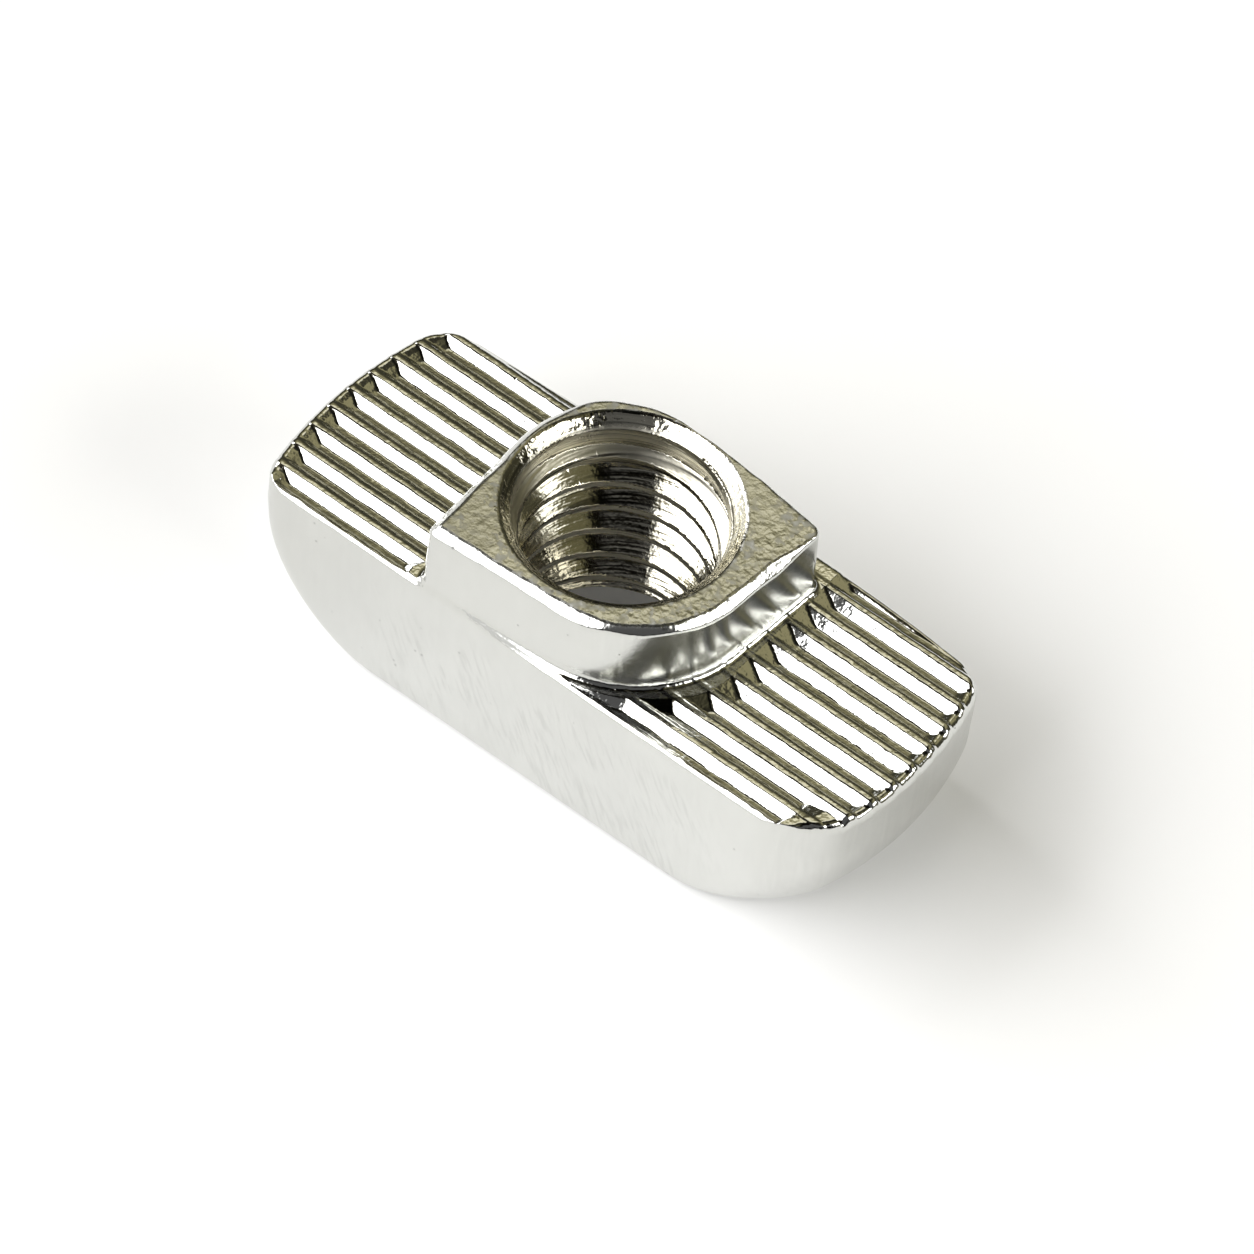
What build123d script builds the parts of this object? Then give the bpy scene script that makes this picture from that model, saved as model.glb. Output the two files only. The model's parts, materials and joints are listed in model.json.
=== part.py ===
from build123d import *
import math
import os

# Hammer-head (quarter-turn) T slot nut, one solid piece of plated steel.
# Millimetres, +Z up.  The long way of the nut is X, its width is Y.  The nut
# stands on its underside, and the origin is the middle of that footprint.

# ---- body (the hammer head that turns under the slot's lips) ----
BODY_HALF_L = 9.58          # half length, at the middle of each end
BODY_FRONT_Y = -3.87        # flat front side
BODY_BACK_Y = 3.852         # back side, at the top of its slight bow
BODY_BACK_Y_LEFT = 3.60     # back side where it meets the left end
BODY_BACK_Y_RIGHT = 3.62    # back side where it meets the right end
END_R = 14.0                # radius of the end arcs in plan
END_LEFT_CY = -0.75         # the end arcs are struck a little off the middle
END_RIGHT_CY = 0.25
CORNER_TIGHT = 0.85         # plan radius, front left and back right corners
CORNER_WIDE = 1.60          # plan radius, back left and front right corners
HEEL_LEFT_R = 3.7           # large radii from the ends into the underside
HEEL_RIGHT_R = 3.8
HEEL_LEFT_PLAN_R = 11.5     # the heels curve round more in plan than the ends
HEEL_RIGHT_PLAN_R = 8.8
HEEL_DRAFT = 5.0            # degrees, above the heel radius
LOWER_EDGE_R = 0.35         # long lower edges

# ---- serrations on the wings ----
CREST_Z = 5.00              # top of the serrations
GROOVE_DEPTH = 0.27
PITCH = 0.79
CREST_FLAT = 0.10
GROOVE_FLAT = 0.05
WING_END_R = 0.25           # rounding of the serrations at the ends

# ---- neck (the near-square boss that sits in the slot) ----
NECK_TOP_Z = 7.35
NECK_R = 3.12               # the two turning corners
NECK_C1 = (0.40, -0.42)     # centre of the front right turning corner
NECK_C2 = (-0.90, 0.35)     # centre of the back left turning corner
NECK_STOP_1 = (-3.86, -3.76)  # stop corner, front left
NECK_STOP_2 = (3.80, 3.02)    # stop corner, back right
NECK_STOP_R = 0.40          # plan radius of the two stop corners
NECK_TOP_FILLET = 0.22
FLARE = 0.22                # flare where the neck meets the wings

# ---- hole ----
HOLE = (-0.50, 0.20)        # the tapped hole is a little off the middle
BORE_R = 2.575              # thread minor radius, M6 x 1
MOUTH_R = 3.30              # countersink rim
MOUTH_KNEE_R = 2.97         # steep upper part of the mouth
MOUTH_KNEE_DEPTH = 0.55
MOUTH_DEPTH = 0.95          # below this the bore is plain
EXIT_R = 3.05               # chamfer on the underside
EXIT_DEPTH = 0.45


def on_arc(c, r, deg):
    return (c[0] + r * math.cos(math.radians(deg)), c[1] + r * math.sin(math.radians(deg)))


def end_x(cx_sign, cy, y):
    # x of an end arc at a given y
    return cx_sign * (BODY_HALF_L - END_R + math.sqrt(END_R ** 2 - (y - cy) ** 2))


os.makedirs("parts", exist_ok=True)

# ---- plan of the body ----
fl = (end_x(-1, END_LEFT_CY, BODY_FRONT_Y), BODY_FRONT_Y)
bl = (end_x(-1, END_LEFT_CY, BODY_BACK_Y_LEFT), BODY_BACK_Y_LEFT)
fr = (end_x(1, END_RIGHT_CY, BODY_FRONT_Y), BODY_FRONT_Y)
br = (end_x(1, END_RIGHT_CY, BODY_BACK_Y_RIGHT), BODY_BACK_Y_RIGHT)
with BuildSketch(Plane.XY) as plan:
    with BuildLine():
        Line(fl, fr)
        ThreePointArc(fr, (BODY_HALF_L, END_RIGHT_CY), br)
        ThreePointArc(br, (2.6, BODY_BACK_Y), bl)
        ThreePointArc(bl, (-BODY_HALF_L, END_LEFT_CY), fl)
    make_face()
    for corner, radius in ((fl, CORNER_TIGHT), (br, CORNER_TIGHT), (bl, CORNER_WIDE), (fr, CORNER_WIDE)):
        fillet([v for v in plan.vertices() if math.dist((v.X, v.Y), corner) < 0.01], radius)
body = extrude(plan.sketch, NECK_TOP_Z)


# ---- heels: each one is turned about a centre behind its own end ----
def heel(sign, cy, plan_r, heel_r):
    t = math.radians(HEEL_DRAFT)
    m = math.radians(-(90 + HEEL_DRAFT) / 2)
    e = (plan_r - heel_r + heel_r * math.cos(t), heel_r - heel_r * math.sin(t))
    top = NECK_TOP_Z + 1.15
    with BuildSketch(Plane.XZ) as s:
        with BuildLine():
            Line((0, 0), (plan_r - heel_r, 0))
            ThreePointArc(
                (plan_r - heel_r, 0),
                (plan_r - heel_r + heel_r * math.cos(m), heel_r + heel_r * math.sin(m)),
                e,
            )
            Polyline(e, (e[0] + (top - e[1]) * math.tan(t), top), (0, top), (0, 0))
        make_face()
    turned = Pos(sign * (BODY_HALF_L - plan_r), cy, 0) * revolve(s.sketch, Axis.Z)
    near = turned & Pos(sign * 10, 0, 5) * Box(20, 20, 20)
    return near + Pos(-sign * 10, 0, top / 2) * Box(20, 9, top)


body = body & heel(-1, END_LEFT_CY, HEEL_LEFT_PLAN_R, HEEL_LEFT_R)
body = body & heel(1, END_RIGHT_CY, HEEL_RIGHT_PLAN_R, HEEL_RIGHT_R)


# ---- the ends of the serrations are rounded over ----
def cap(sign, cy):
    r = END_R + 0.005
    with BuildSketch(Plane.XZ) as s:
        with BuildLine():
            Polyline((0, -1), (r, -1), (r, CREST_Z - WING_END_R))
            ThreePointArc(
                (r, CREST_Z - WING_END_R),
                (r - WING_END_R * (1 - math.cos(math.pi / 4)), CREST_Z - WING_END_R * (1 - math.sin(math.pi / 4))),
                (r - WING_END_R, CREST_Z),
            )
            Polyline((r - WING_END_R, CREST_Z), (0, CREST_Z), (0, -1))
        make_face()
    return Pos(sign * (BODY_HALF_L - END_R), cy, 0) * revolve(s.sketch, Axis.Z)


# ---- section across the nut: V grooves along X on top (crest 0 lies on the
# ---- front edge), and the long lower edges rounded
pts = []
k = -2
while BODY_FRONT_Y + k * PITCH < 5.5:
    c = BODY_FRONT_Y + k * PITCH
    g = c + PITCH / 2
    pts += [(c - CREST_FLAT / 2, CREST_Z), (c + CREST_FLAT / 2, CREST_Z)]
    pts += [(g - GROOVE_FLAT / 2, CREST_Z - GROOVE_DEPTH), (g + GROOVE_FLAT / 2, CREST_Z - GROOVE_DEPTH)]
    k += 1
f, g, r = BODY_FRONT_Y, BODY_BACK_Y, LOWER_EDGE_R
d = r * (1 - math.cos(math.pi / 4))
with BuildSketch(Plane.YZ) as teeth:
    with BuildLine():
        Polyline(*pts)
        Polyline(pts[-1], (pts[-1][0], r), (g, r))
        ThreePointArc((g, r), (g - d, d), (g - r, 0))
        Line((g - r, 0), (f + r, 0))
        ThreePointArc((f + r, 0), (f + d, d), (f, r))
        Polyline((f, r), (pts[0][0], r), pts[0])
    make_face()
toothed = extrude(teeth.sketch, 12.0, both=True)
wings = body & toothed & cap(-1, END_LEFT_CY) & cap(1, END_RIGHT_CY)


# ---- neck ----
def touch(p, c, r, side):
    # the point where a line from p just touches the circle (c, r)
    dx, dy = p[0] - c[0], p[1] - c[1]
    a = math.atan2(dy, dx) + side * math.acos(r / math.hypot(dx, dy))
    return (c[0] + r * math.cos(a), c[1] + r * math.sin(a))


def mid_arc(c, r, p, q):
    ux, uy = p[0] + q[0] - 2 * c[0], p[1] + q[1] - 2 * c[1]
    n = math.hypot(ux, uy)
    return (c[0] + r * ux / n, c[1] + r * uy / n)


def neck_plan(grow=0.0):
    c1, c2, r = NECK_C1, NECK_C2, NECK_R + grow
    s1 = (NECK_STOP_1[0] - grow, NECK_STOP_1[1] - grow)
    s2 = (NECK_STOP_2[0] + grow, NECK_STOP_2[1] + grow)
    a1 = touch(s1, c1, r, 1)
    a2 = touch(s2, c1, r, -1)
    b1 = touch(s2, c2, r, 1)
    b2 = touch(s1, c2, r, -1)
    with BuildSketch(Plane.XY) as s:
        with BuildLine():
            Line(s1, a1)
            ThreePointArc(a1, mid_arc(c1, r, a1, a2), a2)
            Line(a2, s2)
            Line(s2, b1)
            ThreePointArc(b1, mid_arc(c2, r, b1, b2), b2)
            Line(b2, s1)
        make_face()
        ends = [v for v in s.vertices() if min(math.dist((v.X, v.Y), s1), math.dist((v.X, v.Y), s2)) < 0.01]
        fillet(ends, NECK_STOP_R)
    return s.sketch


neck = extrude(Pos(0, 0, 2.0) * neck_plan(), NECK_TOP_Z - 2.0)
neck = fillet(neck.faces().sort_by(Axis.Z)[-1].edges(), NECK_TOP_FILLET)
flare = loft([Pos(0, 0, CREST_Z - GROOVE_DEPTH) * neck_plan(FLARE), Pos(0, 0, CREST_Z + 0.30) * neck_plan(0.005)])
flare_foot = extrude(Pos(0, 0, 2.0) * neck_plan(FLARE), CREST_Z - GROOVE_DEPTH - 2.0)
inside = body
nut = wings + (neck & inside) + ((flare + flare_foot) & inside)

# ---- tapped hole: plain bore at the minor diameter, with both mouths ----
with BuildSketch(Plane.XZ) as s:
    with BuildLine():
        Polyline(
            (0, -1),
            (EXIT_R + 0.1, -1),
            (EXIT_R + 0.1, 0),
            (EXIT_R, 0),
            (BORE_R, EXIT_DEPTH),
            (BORE_R, NECK_TOP_Z - MOUTH_DEPTH),
            (MOUTH_KNEE_R, NECK_TOP_Z - MOUTH_KNEE_DEPTH),
            (MOUTH_R, NECK_TOP_Z),
            (MOUTH_R + 0.35, NECK_TOP_Z + 0.6),
            (0, NECK_TOP_Z + 0.6),
            (0, -1),
        )
    make_face()
cutter = Pos(HOLE[0], HOLE[1], 0) * revolve(s.sketch, Axis.Z)
nut = nut - cutter

solids = nut.solids()
print("solids", len(solids), [round(x.volume, 2) for x in solids])
shape = max(solids, key=lambda x: x.volume)
b = shape.bounding_box()
print("box", b.min, b.max, "valid", shape.is_valid)
export_step(shape, "parts/t_nut_body.step")
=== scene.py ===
import bpy
import json
import math
import numpy as np
from mathutils import Matrix, Vector

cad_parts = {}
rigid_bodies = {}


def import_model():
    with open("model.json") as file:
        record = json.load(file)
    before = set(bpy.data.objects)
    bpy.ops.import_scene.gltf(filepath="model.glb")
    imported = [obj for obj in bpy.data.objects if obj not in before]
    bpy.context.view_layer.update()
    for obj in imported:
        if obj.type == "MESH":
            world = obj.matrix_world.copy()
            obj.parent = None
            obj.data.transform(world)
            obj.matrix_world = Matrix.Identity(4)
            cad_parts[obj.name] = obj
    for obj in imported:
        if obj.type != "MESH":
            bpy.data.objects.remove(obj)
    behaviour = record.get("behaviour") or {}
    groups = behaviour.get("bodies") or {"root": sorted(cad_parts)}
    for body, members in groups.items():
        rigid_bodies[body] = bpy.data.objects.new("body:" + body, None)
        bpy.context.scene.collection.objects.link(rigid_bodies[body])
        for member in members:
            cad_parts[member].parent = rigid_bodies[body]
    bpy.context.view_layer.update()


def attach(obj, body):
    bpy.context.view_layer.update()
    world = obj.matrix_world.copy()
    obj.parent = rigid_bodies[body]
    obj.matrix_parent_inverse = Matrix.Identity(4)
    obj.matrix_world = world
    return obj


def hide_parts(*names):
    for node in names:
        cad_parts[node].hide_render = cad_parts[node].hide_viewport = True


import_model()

MM = 0.001

# ---------------------------------------------------------------- dimensions
# millimetres, in the frame of the CAD model
FRONT_Y = -3.87
CREST_Z = 5.00
PITCH = 0.79
TOP_Z = 7.35
HOLE = (-0.50, 0.13)
MOUTH_R = 3.25
THREAD_CREST = 2.60
THREAD_ROOT = 3.03
THREAD_PITCH = 1.0
THREAD_Z0 = 4.68


# ------------------------------------------------------------- field helpers
def f32(a):
    return np.asarray(a, dtype=np.float32)


def r_int(a, b, r):
    """Intersection of two fields with a round edge of radius r."""
    u = np.maximum(a + r, 0)
    v = np.maximum(b + r, 0)
    return np.minimum(np.maximum(a, b), -r) + np.sqrt(u * u + v * v)


def r_uni(a, b, r):
    """Union of two fields with a round fillet of radius r."""
    u = np.maximum(r - a, 0)
    v = np.maximum(r - b, 0)
    return np.maximum(np.minimum(a, b), r) - np.sqrt(u * u + v * v)


def step(a, b, x):
    t = np.clip((x - a) / (b - a), 0, 1)
    return t * t * (3 - 2 * t)


def ramp_up(t, w):
    """0 below t = 0, t above it, rounded over a width w."""
    return 0.5 * (t + np.sqrt(t * t + w * w))


rng = np.random.RandomState(7)


def make_waves(n, wavelength, dim):
    k = rng.normal(size=(n, dim))
    k /= np.linalg.norm(k, axis=1)[:, None]
    k *= (2 * math.pi / wavelength) * rng.uniform(0.6, 1.6, size=(n, 1))
    return k, rng.uniform(0, 2 * math.pi, n)


def wave(w, *p):
    k, ph = w
    out = 0
    for i in range(len(ph)):
        arg = ph[i]
        for j, q in enumerate(p):
            arg = arg + np.float32(k[i][j]) * q
        out = out + np.sin(arg)
    return out / math.sqrt(len(ph) / 2)


W_RIDGE = make_waves(6, 1.1, 2)
W_RIDGE2 = make_waves(6, 0.5, 2)
W_WALL = make_waves(7, 3.0, 3)
W_TOP = make_waves(8, 0.9, 2)
W_EDGE = make_waves(5, 1.4, 3)


def ridge_table(u, h, soft):
    """One pitch of the serration, crest at u = 0, softened over `soft` mm."""
    n = 1024
    t = np.linspace(-0.5, 0.5, n, endpoint=False)
    v = np.interp(t, u, h)
    k = np.arange(n) - n // 2
    w = np.exp(-0.5 * (k * PITCH / n / soft) ** 2)
    w /= w.sum()
    return np.real(np.fft.ifft(np.fft.fft(v) * np.fft.fft(np.fft.ifftshift(w))))


# heights below the crest; u runs from front to back
RIDGE_L = ridge_table([-0.5, -0.405, -0.095, 0.045, 0.12, 0.20, 0.30, 0.362, 0.5],
                      [-0.200, -0.208, 0.0, 0.0, -0.012, -0.045, -0.125, -0.190, -0.200], 0.014)
RIDGE_R = ridge_table([-0.5, -0.455, -0.092, 0.075, 0.13, 0.22, 0.325, 0.5],
                      [-0.232, -0.235, 0.0, 0.0, -0.012, -0.090, -0.222, -0.232], 0.015)


def ridge(table, u):
    u = (u - np.floor(u + 0.5) + 0.5) * len(table)
    i = np.floor(u).astype(np.int64)
    f = u - i
    return table[i % len(table)] * (1 - f) + table[(i + 1) % len(table)] * f


def half(px, py, nx, ny, x, y):
    n = math.hypot(nx, ny)
    return (x - px) * (nx / n) + (y - py) * (ny / n)


def field(x, y, z):
    """Signed field of the nut: below zero inside the metal."""
    ax = np.abs(x)
    # -- sides and ends in plan
    front = FRONT_Y - y
    back_y = 3.92 - np.where(x < 4.0, 0.0018, 0.0080) * (x - 4.0) ** 2
    back = y - back_y
    end_l = np.hypot(x - 3.42, y + 0.75) - 13.06
    end_r = np.hypot(x + 3.42, y + 0.15) - 13.0
    vert = np.where(x < 0, end_l, end_r)
    # -- the heels
    draft = 0.087 * np.maximum(z - 3.4, 0)
    heel_l = np.hypot(x - (-9.64 + 11.5), y + 0.75) - 11.5 - draft
    heel_r = np.hypot(x - (9.58 - 8.8), y - 0.25) - 8.8 - draft
    hl = r_int(heel_l, -z, 3.7)
    hr = r_int(heel_r, -z, 3.25)
    heel = np.where(x < 0, hl, hr)
    ends = r_int(vert, heel, 0.10)
    far = step(5.0, 8.6, ax)
    rf = 0.28 + far * np.where(x < 0, 0.50, 1.15)
    rb = 0.28 + far * np.where(x < 0, 0.75, 0.55)
    body = r_int(ends, front, rf)
    body = r_int(body, back, rb)

    # -- neck in plan
    wob = 0.004 * wave(W_WALL, x, y, z)
    nf = half(-3.70, -3.76, 0.045, -1, x, y)
    nr = half(3.66, 0.0, 1, -0.075, x, y)
    nb1 = half(3.85, 3.00, 0.155, 1, x, y)
    nb2 = half(-1.0, 3.44, -0.01, 1, x, y)
    nl = half(-4.05, 0.0, -1, -0.03, x, y)
    nb = r_int(nb1, nb2, 0.3)
    q1 = r_int(nf, nr, 3.1)
    q2 = r_int(nb, nl, 3.1)
    plan = r_int(q1, q2, 0.28)

    # -- serrated top of the wings
    yy = y + 0.004 * wave(W_RIDGE, x, y * 0.6) + 0.003 * wave(W_RIDGE2, x, y)
    ph = (yy - FRONT_Y) / PITCH
    cut = np.where(x < 0, ridge(RIDGE_L, ph), ridge(RIDGE_R, ph))
    # the cuts run out before the neck, on a ramp, so a level landing is left,
    # and again just short of the ends
    xw = 0.50 + np.sqrt(np.maximum(9.61 - (np.clip(y, -3.74, -0.66) + 0.66) ** 2, 0.01))
    lead = x - xw - 0.10 - 0.34 * step(-3.2, -1.4, y)
    run_r = -0.42 * np.maximum(lead, 0)
    run_l = -0.9 * np.maximum(plan - 0.18 - 0.30 * step(-2.9, -3.5, y), 0)
    inner = np.where(x < 0, run_l, run_r)
    inset = -vert
    outer_l = -0.010 - 0.24 * np.maximum(inset - 0.16, 0) - 0.26 * np.maximum(inset - 0.40, 0)
    outer_r = -0.080 - 0.26 * np.maximum(inset - 0.12, 0) - 0.26 * np.maximum(inset - 0.30, 0)
    near = 1.43 - np.hypot(np.maximum(x - 7.60, 0), np.maximum(-2.44 - y, 0)) + 3 * (1 - step(7.3, 8.1, x))
    patch = -0.012 - 0.30 * np.maximum(near - 0.42, 0)
    outer_r = np.maximum(outer_r, np.where(y < -2.6, patch, -9))
    outer = np.where(x < 0, outer_l, outer_r)
    stop = np.maximum(inner, outer)
    q = np.maximum(0.06 - np.abs(stop - cut), 0)
    h = CREST_Z + np.maximum(cut, stop) + q * q * 4.2
    top = (z - h) * 0.80
    # small chamfer along the front edge
    ledge = (front + z - CREST_Z) * 0.7071 + 0.094 + 0.005 * wave(W_EDGE, x, y, z)
    top = r_int(top, ledge, 0.02)

    # -- neck, with a small flare at its foot
    lean = 0.020 * (TOP_Z - z)
    neck2 = plan + wob - lean
    tip = z - TOP_Z
    # broken top edge: broad along the front and right, almost sharp behind
    fore = step(2.6, 1.2, y)
    turn = step(1.0, 2.2, x) * step(-1.2, -2.4, y)
    leg = 0.05 + 0.19 * fore * (1 - 0.30 * turn) + 0.014 * wave(W_EDGE, x, y, z)
    bevel = (neck2 + tip) * 0.7071 + leg * 0.7071
    neck = r_int(neck2, tip, 0.03)
    neck = r_int(neck, bevel, 0.045)
    upper = r_uni(top, neck, 0.20)
    edge = 0.20 + 0.06 * step(7.6, 9.0, -x) + 0.10 * step(8.0, 9.2, x)
    edge = edge * (1 - 0.86 * step(-3.3, -3.65, y))
    nut = r_int(body, upper, edge)

    # -- hole
    hx, hy = x - HOLE[0], y - HOLE[1]
    rr = np.hypot(hx, hy)
    th = np.arctan2(hy, hx)
    t = (z - THREAD_Z0) / THREAD_PITCH - th / (2 * math.pi)
    t = np.abs(t - np.round(t)) * THREAD_PITCH
    a = TOP_Z - z
    # a bevel at the rim, then a long steep lead in which the thread deepens
    bevel_r = MOUTH_R - 1.05 * a
    lead_r = MOUTH_R - 0.36 - 0.28 * (a - 0.34)
    base_r = np.maximum(lead_r, THREAD_CREST)
    depth_t = (THREAD_ROOT - THREAD_CREST) * step(0.10, 1.75, a)
    wall = base_r + np.clip((t - 0.095) * 1.36, 0, depth_t)
    mouth = bevel_r
    exit_r = THREAD_ROOT + 0.12 - z * 0.9
    wall = np.maximum(wall, np.maximum(mouth, exit_r))
    hole = (wall - rr) * 0.72
    nut = r_int(nut, hole, 0.05)
    return nut


def gradient(p, h=0.004):
    g = np.empty_like(p)
    for i in range(3):
        a = p.copy()
        b = p.copy()
        a[:, i] += h
        b[:, i] -= h
        g[:, i] = (field(a[:, 0], a[:, 1], a[:, 2]) - field(b[:, 0], b[:, 1], b[:, 2])) / (2 * h)
    return g


def settle(p, rounds, cap=0.03):
    """Move points onto the surface."""
    for _ in range(rounds):
        g = gradient(p)
        v = field(p[:, 0], p[:, 1], p[:, 2])
        s = -v[:, None] * g / (np.sum(g * g, axis=1)[:, None] + 1e-6)
        n = np.linalg.norm(s, axis=1)[:, None]
        p = p + s * np.minimum(1.0, cap / (n + 1e-9))
    return p


def surface(xs, ys, zs):
    """Closed quad mesh of the zero level of the field on a grid."""
    F = field(xs[:, None, None], ys[None, :, None], zs[None, None, :]).astype(np.float32)
    s = F < 0
    cnt = np.zeros(tuple(n - 1 for n in F.shape), np.uint8)
    corners = [(i, j, k) for i in (0, 1) for j in (0, 1) for k in (0, 1)]
    nx, ny, nz = F.shape
    for i, j, k in corners:
        cnt += s[i:nx - 1 + i, j:ny - 1 + j, k:nz - 1 + k]
    active = (cnt > 0) & (cnt < 8)
    I = np.argwhere(active)
    idx = np.full(active.shape, -1, np.int32)
    idx[active] = np.arange(len(I))
    acc = np.zeros((len(I), 3))
    num = np.zeros(len(I))
    for a in corners:
        for ax in range(3):
            if a[ax]:
                continue
            b = list(a)
            b[ax] = 1
            fa = F[I[:, 0] + a[0], I[:, 1] + a[1], I[:, 2] + a[2]]
            fb = F[I[:, 0] + b[0], I[:, 1] + b[1], I[:, 2] + b[2]]
            m = (fa < 0) != (fb < 0)
            t = fa[m] / (fa[m] - fb[m])
            q = np.array(a, float)[None, :].repeat(m.sum(), 0)
            q[:, ax] += t
            acc[m] += q
            num[m] += 1
    pos = I + acc / num[:, None]
    step_ = np.array([xs[1] - xs[0], ys[1] - ys[0], zs[1] - zs[0]])
    P = np.array([xs[0], ys[0], zs[0]]) + pos * step_
    quads = []
    for ax in range(3):
        b, c = (ax + 1) % 3, (ax + 2) % 3
        lo = [slice(None)] * 3
        hi = [slice(None)] * 3
        lo[ax] = slice(0, -1)
        hi[ax] = slice(1, None)
        change = s[tuple(lo)] != s[tuple(hi)]
        E = np.argwhere(change)
        flip = ~s[tuple(lo)][change]
        keep = (E[:, b] > 0) & (E[:, c] > 0)
        E, flip = E[keep], flip[keep]

        def cell(db, dc):
            q = E.copy()
            q[:, b] += db
            q[:, c] += dc
            return idx[q[:, 0], q[:, 1], q[:, 2]]

        Q = np.stack([cell(-1, -1), cell(0, -1), cell(0, 0), cell(-1, 0)], 1)
        Q[flip] = Q[flip][:, ::-1]
        quads.append(Q)
    Q = np.concatenate(quads)
    return P, Q


def to_mesh(name, P, faces):
    me = bpy.data.meshes.new(name)
    n = faces.shape[1]
    me.vertices.add(len(P))
    me.vertices.foreach_set("co", np.asarray(P, np.float32).ravel())
    me.loops.add(faces.size)
    me.loops.foreach_set("vertex_index", np.asarray(faces, np.int32).ravel())
    me.polygons.add(len(faces))
    me.polygons.foreach_set("loop_start", np.arange(0, faces.size, n, dtype=np.int32))
    me.update(calc_edges=True)
    me.validate()
    return me


# ------------------------------------------------------------------ the piece
CELL = 0.052
xs = np.arange(-9.58 - 0.17, 9.58 + 0.17, CELL)
ys = np.arange(-3.87 - 0.17, 3.87 + 0.17, CELL)
zs = np.arange(-0.17, TOP_Z + 0.17, CELL)
P, Q = surface(xs.astype(np.float64), ys.astype(np.float64), zs.astype(np.float64))
P = settle(P, 1)
d1 = np.linalg.norm(P[Q[:, 0]] - P[Q[:, 2]], axis=1)
d2 = np.linalg.norm(P[Q[:, 1]] - P[Q[:, 3]], axis=1)
T = np.where((d1 < d2)[:, None, None], Q[:, [[0, 1, 2], [0, 2, 3]]], Q[:, [[1, 2, 3], [1, 3, 0]]]).reshape(-1, 3)
me = to_mesh("t_nut_skin", P * MM, T)
nut = bpy.data.objects.new("t_nut_skin", me)
bpy.context.scene.collection.objects.link(nut)
print("grid faces", len(T))
GOAL = 190000
dec = nut.modifiers.new("dec", "DECIMATE")
dec.ratio = min(1.0, GOAL / len(T))
dg = bpy.context.evaluated_depsgraph_get()
lean_me = bpy.data.meshes.new_from_object(nut.evaluated_get(dg))
nut.modifiers.clear()
nut.data = lean_me
lean_me.name = "t_nut_skin"
me = lean_me
V = np.empty(len(me.vertices) * 3, np.float32)
me.vertices.foreach_get("co", V)
V = V.reshape(-1, 3).astype(np.float64) / MM
V = settle(V, 2, 0.02)
me.vertices.foreach_set("co", (V * MM).astype(np.float32).ravel())
N = gradient(V)
N /= np.linalg.norm(N, axis=1)[:, None] + 1e-9
me.polygons.foreach_set("use_smooth", np.ones(len(me.polygons), bool))
me.update()
me.normals_split_custom_set_from_vertices([tuple(n) for n in N])
print("faces", len(me.polygons), "box", V.min(0), V.max(0))


# ------------------------------------------------------------------ material
def node(nt, kind, x=0, y=0, **kw):
    n = nt.nodes.new(kind)
    n.location = (x, y)
    for k, v in kw.items():
        setattr(n, k, v)
    return n


mat = bpy.data.materials.new("nickel_plate")
mat.use_nodes = True
nt = mat.node_tree
nt.nodes.clear()
L = nt.links.new
out = node(nt, "ShaderNodeOutputMaterial", 900)
bsdf = node(nt, "ShaderNodeBsdfPrincipled", 600)
L(bsdf.outputs["BSDF"], out.inputs["Surface"])
bsdf.inputs["Metallic"].default_value = 1.0


def put(sock, v):
    if isinstance(v, (int, float)):
        sock.default_value = v
    elif isinstance(v, tuple):
        sock.default_value = v
    else:
        L(v, sock)


def calc(op, a, b=0.0, c=0.0):
    n = node(nt, "ShaderNodeMath", operation=op)
    put(n.inputs[0], a)
    put(n.inputs[1], b)
    put(n.inputs[2], c)
    return n.outputs[0]


def fade(v, lo, hi, to0=0.0, to1=1.0):
    """Smooth step of v; lo may be above hi."""
    n = node(nt, "ShaderNodeMapRange", interpolation_type="SMOOTHSTEP")
    if lo > hi:
        lo, hi, to0, to1 = hi, lo, to1, to0
    put(n.inputs["Value"], v)
    n.inputs["From Min"].default_value = lo
    n.inputs["From Max"].default_value = hi
    n.inputs["To Min"].default_value = to0
    n.inputs["To Max"].default_value = to1
    return n.outputs[0]


def stretch(v, sx, sy, sz):
    n = node(nt, "ShaderNodeVectorMath", operation="MULTIPLY")
    L(v, n.inputs[0])
    n.inputs[1].default_value = (sx, sy, sz)
    return n.outputs[0]


def noise(v, size, detail=0.0, rough=0.5):
    """Noise centred on zero; size is the grain in millimetres."""
    n = node(nt, "ShaderNodeTexNoise")
    n.inputs["Scale"].default_value = 1.0 / size
    n.inputs["Detail"].default_value = detail
    n.inputs["Roughness"].default_value = rough
    L(v, n.inputs["Vector"])
    return calc("SUBTRACT", n.outputs["Fac"], 0.5)


tc = node(nt, "ShaderNodeTexCoord")
mm = stretch(tc.outputs["Object"], 1000.0, 1000.0, 1000.0)
px = node(nt, "ShaderNodeSeparateXYZ")
L(mm, px.inputs[0])
X, Y, Z = px.outputs[0], px.outputs[1], px.outputs[2]
pn = node(nt, "ShaderNodeSeparateXYZ")
L(tc.outputs["Normal"], pn.inputs[0])
steep = fade(calc("ABSOLUTE", pn.outputs[2]), 0.60, 0.25)
hx = calc("SUBTRACT", X, HOLE[0])
hy = calc("SUBTRACT", Y, HOLE[1])
rad = calc("SQRT", calc("ADD", calc("MULTIPLY", hx, hx), calc("MULTIPLY", hy, hy)))
bore = fade(rad, 3.30, 3.20)
out_bore = calc("SUBTRACT", 1.0, bore)
crown = calc("MULTIPLY", fade(Z, 7.22, 7.32), out_bore)
side = calc("MULTIPLY", steep, out_bore)

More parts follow.
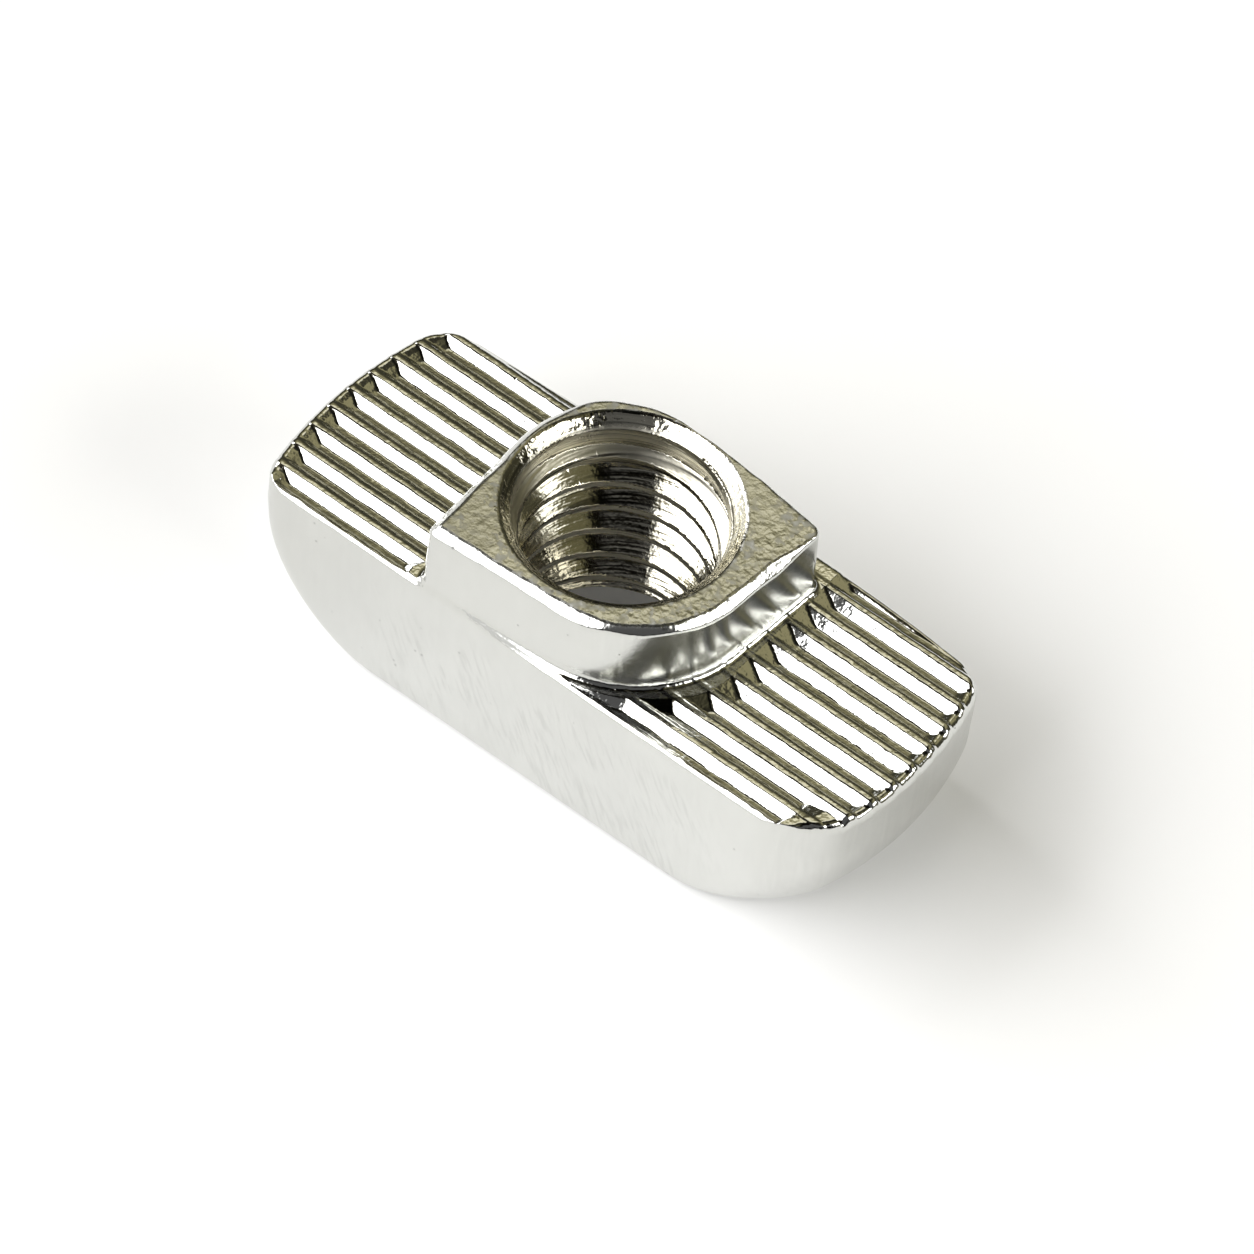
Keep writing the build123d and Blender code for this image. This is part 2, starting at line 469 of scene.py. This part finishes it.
# height of the surface in millimetres, summed for one bump
swell = calc("MULTIPLY", noise(mm, 1.3, 1.0), 0.006)
blotch = calc("MULTIPLY", calc("MULTIPLY", noise(mm, 0.50, 1.0), 0.014), crown)
swell = calc("ADD", swell, blotch)
peel = calc("MULTIPLY", noise(mm, 0.30, 2.0, 0.6), fade(side, 0.0, 1.0, 0.0028, 0.0016))
grain = calc("MULTIPLY", noise(mm, 0.13, 1.0), calc("SUBTRACT", fade(bore, 0.0, 1.0, 0.0085, 0.0040), calc("MULTIPLY", side, 0.0068)))
pebble = calc("MULTIPLY", calc("MULTIPLY", noise(mm, 0.20, 1.0), 0.022), crown)
right = fade(calc("ADD", X, calc("MULTIPLY", Y, -0.35)), 0.6, 2.4, 0.30, 1.0)
pebble = calc("MULTIPLY", pebble, right)
turned = noise(stretch(mm, 0.035, 0.035, 1.0), 0.075, 1.0)
lead_in = calc("MULTIPLY", calc("MULTIPLY", fade(Z, 5.3, 6.1), fade(rad, 3.02, 2.92)), bore)
turned = calc("MULTIPLY", turned, calc("MULTIPLY", bore, fade(lead_in, 0.0, 1.0, 0.0085, 0.018)))
lip = calc("MULTIPLY", calc("MULTIPLY", fade(rad, 2.85, 3.0), fade(Z, 6.9, 7.1)), bore)
turned = calc("ADD", turned, calc("MULTIPLY", calc("MULTIPLY", noise(mm, 0.22, 2.0), 0.030), lip))
spots = node(nt, "ShaderNodeTexVoronoi", feature="F1")
spots.inputs["Scale"].default_value = 1.0 / 0.42
L(mm, spots.inputs["Vector"])
pit = fade(spots.outputs["Distance"], 0.13, 0.05)
rare = fade(noise(mm, 0.9, 1.0), 0.02, 0.10)
pit = calc("MULTIPLY", pit, rare)
high = calc("ADD", calc("ADD", swell, peel), calc("ADD", calc("ADD", pebble, grain), turned))
high = calc("SUBTRACT", high, calc("MULTIPLY", pit, 0.006))
bump = node(nt, "ShaderNodeBump")
bump.inputs["Strength"].default_value = 1.0
bump.inputs["Distance"].default_value = 0.001
L(high, bump.inputs["Height"])
L(bump.outputs["Normal"], bsdf.inputs["Normal"])

# colour: warm bright nickel, a little uneven, darker in the pits
marks = noise(stretch(mm, 1.0, 1.0, 0.12), 0.16, 2.0, 0.6)
slant = node(nt, "ShaderNodeCombineXYZ")
L(calc("ADD", calc("MULTIPLY", X, 0.90), calc("MULTIPLY", Z, 0.43)), slant.inputs[0])
L(calc("MULTIPLY", Y, 1.0), slant.inputs[1])
L(calc("MULTIPLY", calc("SUBTRACT", calc("MULTIPLY", Z, 0.90), calc("MULTIPLY", X, 0.43)), 0.14), slant.inputs[2])
scored = noise(slant.outputs[0], 0.13, 2.0, 0.6)
flank = fade(calc("ABSOLUTE", pn.outputs[1]), 0.85, 0.95)
lower = calc("MULTIPLY", fade(Z, 4.6, 3.2), fade(calc("ABSOLUTE", calc("SUBTRACT", X, 0.5)), 6.6, 4.2))
lower = calc("MULTIPLY", calc("MULTIPLY", lower, flank), fade(noise(mm, 1.6, 1.0), -0.12, 0.04, 0.25, 1.0))
scored = calc("MULTIPLY", fade(scored, -0.03, 0.16), lower)
marks = calc("MULTIPLY", marks, fade(flank, 0.0, 1.0, 1.0, 0.35))
cloud = noise(mm, 1.1, 3.0, 0.6)
tone = calc("ADD", calc("MULTIPLY", cloud, 0.10), calc("MULTIPLY", calc("MULTIPLY", marks, side), 0.16))
tone = calc("SUBTRACT", tone, calc("MULTIPLY", scored, 0.09))
rings = calc("MULTIPLY", noise(stretch(mm, 0.030, 0.030, 1.0), 0.13, 2.0, 0.7), bore)
tone = calc("ADD", tone, calc("MULTIPLY", rings, 1.1))
# fine tool rings in the bore, drawn as thin darker lines
line = calc("ABSOLUTE", noise(stretch(mm, 0.022, 0.022, 1.0), 0.24, 1.0))
line = calc("MULTIPLY", fade(line, 0.030, 0.006), bore)
tone = calc("SUBTRACT", tone, calc("MULTIPLY", line, 0.55))
tone = calc("MULTIPLY", tone, fade(lead_in, 0.0, 1.0, 1.0, 1.32))
tone = calc("ADD", tone, 1.0)
corner = calc("ADD", X, calc("MULTIPLY", noise(mm, 0.8, 1.0), 0.7))
tone = calc("MULTIPLY", tone, fade(calc("MULTIPLY", fade(corner, -1.9, -2.5), crown), 0.0, 1.0, 1.0, 0.86))
tone = calc("MULTIPLY", tone, fade(pit, 0.0, 1.0, 1.0, 0.72))
tint = node(nt, "ShaderNodeVectorMath", operation="SCALE")
hue = node(nt, "ShaderNodeMix", data_type="RGBA")
hue.inputs["A"].default_value = (0.645, 0.648, 0.624, 1)
hue.inputs["B"].default_value = (0.640, 0.615, 0.520, 1)
L(bore, hue.inputs["Factor"])
L(hue.outputs["Result"], tint.inputs[0])
L(tone, tint.inputs["Scale"])
L(tint.outputs[0], bsdf.inputs["Base Color"])

# roughness: glossy sides of the cuts, duller patches on the level faces
level = fade(pn.outputs[2], 0.90, 0.985)
dull = fade(noise(mm, 0.24, 2.0, 0.6), -0.06, 0.16)
dull2 = fade(noise(mm, 0.9, 1.0), -0.10, 0.10, 0.25, 1.0)
worn = calc("MULTIPLY", calc("MULTIPLY", dull, dull2), calc("MULTIPLY", level, calc("ADD", 0.10, calc("MULTIPLY", crown, 0.20))))
gloss = calc("ADD", fade(cloud, -0.2, 0.2, 0.06, 0.10), calc("MULTIPLY", side, 0.14))
gloss = calc("ADD", gloss, worn)
gloss = calc("ADD", gloss, calc("MULTIPLY", crown, 0.14))
gloss = calc("ADD", gloss, calc("ADD", calc("MULTIPLY", lead_in, 0.20), calc("MULTIPLY", bore, 0.01)))
L(gloss, bsdf.inputs["Roughness"])
me.materials.clear()
me.materials.append(mat)
for o in bpy.data.objects:
    if o.type == "MESH" and o is not nut:
        if not o.data.materials:
            o.data.materials.append(mat)
        for s in o.material_slots:
            s.material = mat

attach(nut, "root")
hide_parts("t_nut_body")

# --------------------------------------------------------------------- floor
fm = bpy.data.meshes.new("floor")
S = 1.5
fm.from_pydata([(-S, -S, 0), (S, -S, 0), (S, S, 0), (-S, S, 0)], [], [(0, 1, 2, 3)])
floor = bpy.data.objects.new("floor", fm)
bpy.context.scene.collection.objects.link(floor)
fmat = bpy.data.materials.new("floor")
fmat.use_nodes = True
ft = fmat.node_tree
fb = ft.nodes["Principled BSDF"]
fb.inputs["Roughness"].default_value = 0.7
fb.inputs["Specular IOR Level"].default_value = 0.0
# a plain pale table, the same all over, with a little glow of its own
fb.inputs["Base Color"].default_value = (0.88, 0.88, 0.875, 1)
fb.inputs["Emission Color"].default_value = (1, 1, 1, 1)
fb.inputs["Emission Strength"].default_value = 0.06
fm.materials.append(fmat)

# --------------------------------------------------------------------- light
world = bpy.data.worlds.new("studio")
bpy.context.scene.world = world
world.use_nodes = True
wt = world.node_tree
wt.nodes.clear()
WL = wt.links.new
wo = node(wt, "ShaderNodeOutputWorld", 800)
bg = node(wt, "ShaderNodeBackground", 600)
WL(bg.outputs[0], wo.inputs[0])
wtc = node(wt, "ShaderNodeTexCoord", -900)
sep = node(wt, "ShaderNodeSeparateXYZ", -700)
WL(wtc.outputs["Generated"], sep.inputs[0])


def height_ramp(stops):
    cr = node(wt, "ShaderNodeValToRGB", -400)
    WL(sep.outputs["Z"], cr.inputs["Fac"])
    el = cr.color_ramp.elements
    while len(el) < len(stops):
        el.new(0.5)
    for e_, (pz, c) in zip(el, stops):
        e_.position = pz
        e_.color = (c[0], c[1], c[2], 1)
    return cr.outputs["Color"]


# a ring of soft boxes round the front and sides, dim near the horizon and
# dark overhead; the room behind the object is dark
lit = height_ramp([
    (0.00, (0.86, 0.86, 0.85)),
    (0.12, (0.90, 0.90, 0.88)),
    (0.22, (1.50, 1.50, 1.50)),
    (0.34, (4.6, 4.6, 4.65)),
    (0.785, (4.95, 4.95, 5.0)),
    (0.83, (0.30, 0.27, 0.18)),
    (0.87, (0.05, 0.045, 0.03)),
    (1.00, (0.008, 0.008, 0.006)),
])
unlit = height_ramp([
    (0.00, (0.12, 0.12, 0.10)),
    (0.12, (0.060, 0.057, 0.036)),
    (0.50, (0.060, 0.057, 0.036)),
    (0.66, (0.17, 0.155, 0.088)),
    (0.76, (0.37, 0.338, 0.186)),
    (0.81, (0.37, 0.338, 0.186)),
    (0.86, (0.07, 0.065, 0.042)),
    (1.00, (0.008, 0.008, 0.006)),
])
lit_r = height_ramp([
    (0.00, (0.17, 0.16, 0.11)),
    (0.20, (0.17, 0.16, 0.11)),
    (0.30, (1.10, 1.10, 1.05)),
    (0.37, (6.0, 6.0, 5.9)),
    (0.56, (6.0, 6.0, 5.8)),
    (0.68, (0.17, 0.16, 0.09)),
    (0.80, (0.15, 0.14, 0.08)),
    (1.00, (0.008, 0.008, 0.006)),
])
flat = node(wt, "ShaderNodeVectorMath", -700, -250, operation="MULTIPLY")
WL(wtc.outputs["Generated"], flat.inputs[0])
flat.inputs[1].default_value = (1, 1, 0)
unit = node(wt, "ShaderNodeVectorMath", -550, -250, operation="NORMALIZE")
WL(flat.outputs[0], unit.inputs[0])


def towards(azimuth, lo, hi, a, b):
    d = node(wt, "ShaderNodeVectorMath", -400, -250, operation="DOT_PRODUCT")
    WL(unit.outputs[0], d.inputs[0])
    d.inputs[1].default_value = (math.cos(math.radians(azimuth)), math.sin(math.radians(azimuth)), 0)
    r = node(wt, "ShaderNodeMapRange", -200, -250, interpolation_type="SMOOTHSTEP")
    r.inputs["From Min"].default_value = lo
    r.inputs["From Max"].default_value = hi
    r.inputs["To Min"].default_value = a
    r.inputs["To Max"].default_value = b
    WL(d.outputs["Value"], r.inputs["Value"])
    return r.outputs["Result"]


behind = towards(101, 0.300, 0.480, 0.0, 1.0)
side_w = towards(15, 0.60, 0.80, 0.0, 1.0)
gap_w = towards(-49, 0.755, 0.850, 1.0, 0.022)
ring = node(wt, "ShaderNodeMix", -100, 100, data_type="RGBA")
WL(side_w, ring.inputs["Factor"])
WL(lit, ring.inputs["A"])
WL(lit_r, ring.inputs["B"])
mul = node(wt, "ShaderNodeVectorMath", 0, 0, operation="SCALE")
WL(ring.outputs["Result"], mul.inputs[0])
WL(gap_w, mul.inputs["Scale"])
mix = node(wt, "ShaderNodeMix", 200, 0, data_type="RGBA")
WL(behind, mix.inputs["Factor"])
WL(mul.outputs[0], mix.inputs["A"])
WL(unlit, mix.inputs["B"])
# one light patch high up behind, for the sparkle of the level faces
pd = node(wt, "ShaderNodeVectorMath", -400, -600, operation="DOT_PRODUCT")
WL(wtc.outputs["Generated"], pd.inputs[0])
pd.inputs[1].default_value = (-0.2557, 0.3937, 0.8829)
ps = node(wt, "ShaderNodeMapRange", -200, -600, interpolation_type="SMOOTHSTEP")
ps.inputs["From Min"].default_value = 0.9740
ps.inputs["From Max"].default_value = 0.9945
WL(pd.outputs["Value"], ps.inputs["Value"])
pc = node(wt, "ShaderNodeVectorMath", 0, -600, operation="SCALE")
pc.inputs[0].default_value = (0.95, 0.90, 0.70)
WL(ps.outputs["Result"], pc.inputs["Scale"])
pa = node(wt, "ShaderNodeVectorMath", 300, -300, operation="ADD")
WL(mix.outputs["Result"], pa.inputs[0])
WL(pc.outputs[0], pa.inputs[1])
WL(pa.outputs[0], bg.inputs["Color"])
bg.inputs["Strength"].default_value = 1.0

# -------------------------------------------------------------------- camera
cam_d = bpy.data.cameras.new("camera")
cam = bpy.data.objects.new("camera", cam_d)
bpy.context.scene.collection.objects.link(cam)
C = Vector((160.83753, -243.95969, 376.87566)) * MM
R2 = Vector((0.77956319, 0.62229148, 0.07095451))
U2 = Vector((-0.52685233, 0.59027292, 0.61155908))
BK = Vector((0.33868548, -0.5141315, 0.78801075))
m = Matrix(((R2.x, U2.x, BK.x, C.x), (R2.y, U2.y, BK.y, C.y), (R2.z, U2.z, BK.z, C.z), (0, 0, 0, 1)))
cam.matrix_world = m
cam_d.sensor_width = 36.0
cam_d.lens = 18132.694 / 1254.0 * 36.0
cam_d.clip_start = 0.01
cam_d.clip_end = 10.0
bpy.context.scene.camera = cam
bpy.context.scene.view_settings.view_transform = "Standard"
bpy.context.scene.view_settings.look = "None"
